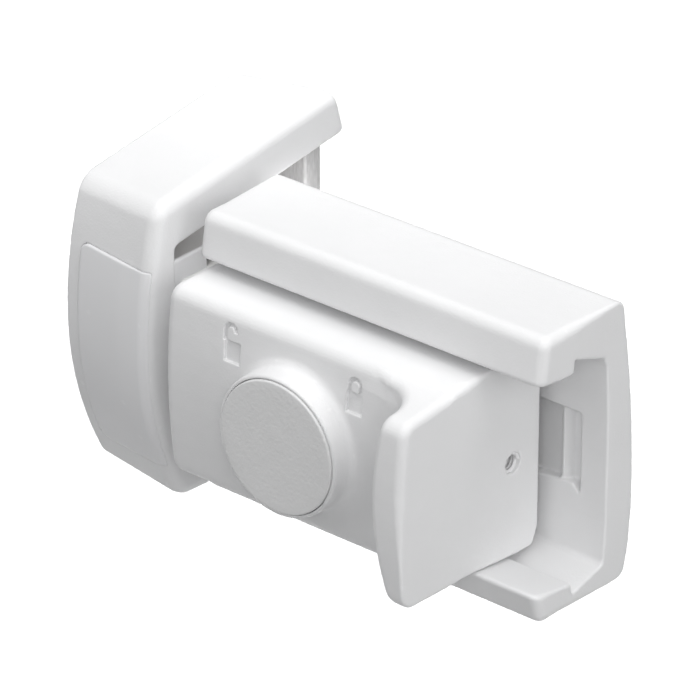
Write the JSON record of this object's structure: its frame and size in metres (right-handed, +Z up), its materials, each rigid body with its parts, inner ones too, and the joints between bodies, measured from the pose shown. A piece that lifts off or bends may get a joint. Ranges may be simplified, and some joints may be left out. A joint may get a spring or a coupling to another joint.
{
  "type": "stair gate latch",
  "caption": "Two-part stair gate latch: wall keeper and gate rail housing with a sliding bolt, finger flange and push-button lock.",
  "frame": {"origin": "midway between the two wall screw holes, on the keeper's wall face", "axes": "+X from the wall towards the gate, along the bolt; +Y to the back of the gate; +Z up"},
  "size_m": [0.1124, 0.073, 0.0755],
  "materials": {
    "white_shell": "fine spark-eroded satin",
    "white_cover": "smooth satin",
    "button_plastic": "coarser spark-eroded",
    "white_nylon": "as moulded",
    "grey_nylon": "as moulded",
    "coated_steel": "grey powder coat",
    "spring_steel": "rolled",
    "turned_steel": "turned",
    "zinc_screw": "zinc plated"
  },
  "bodies": {
    "wall_half": {"keeper_shell": "white_shell", "keeper_cover": "white_cover", "strike_bracket": "coated_steel", "strike_screws": "zinc_screw", "bolt_receiver": "grey_nylon", "receiver_screws": "zinc_screw"},
    "gate_half": {"rail_housing": "white_shell"},
    "bolt": {"slide_shell": "white_shell", "slide_carrier": "grey_nylon", "carrier_screws": "zinc_screw", "bolt_tongue": "white_nylon", "tongue_screws": "zinc_screw", "detent_leaf": "spring_steel", "detent_screw": "zinc_screw", "lock_leaf": "spring_steel", "leaf_screws": "zinc_screw", "button_guide": "grey_nylon", "guide_screws": "zinc_screw", "button_spring": "spring_steel"},
    "button": {"button_cap": "button_plastic", "button_stem": "turned_steel", "button_clip": "spring_steel"}
  },
  "joints": [
    {"name": "gate_half_gap", "type": "slide", "parent": "wall_half", "child": "gate_half", "axis": [1, 0, 0], "range_m": [-0.003, 0.008]},
    {"name": "bolt_slide", "type": "slide", "parent": "gate_half", "child": "bolt", "axis": [1, 0, 0], "range_m": [0, 0.014], "deforming": ["detent_leaf"]},
    {"name": "button_press", "type": "slide", "parent": "bolt", "child": "button", "axis": [0, 1, 0], "range_m": [0, 0.0025], "stiffness_N_per_m": 800, "springref_m": -0.003, "deforming": ["button_spring", "lock_leaf"]}
  ]
}
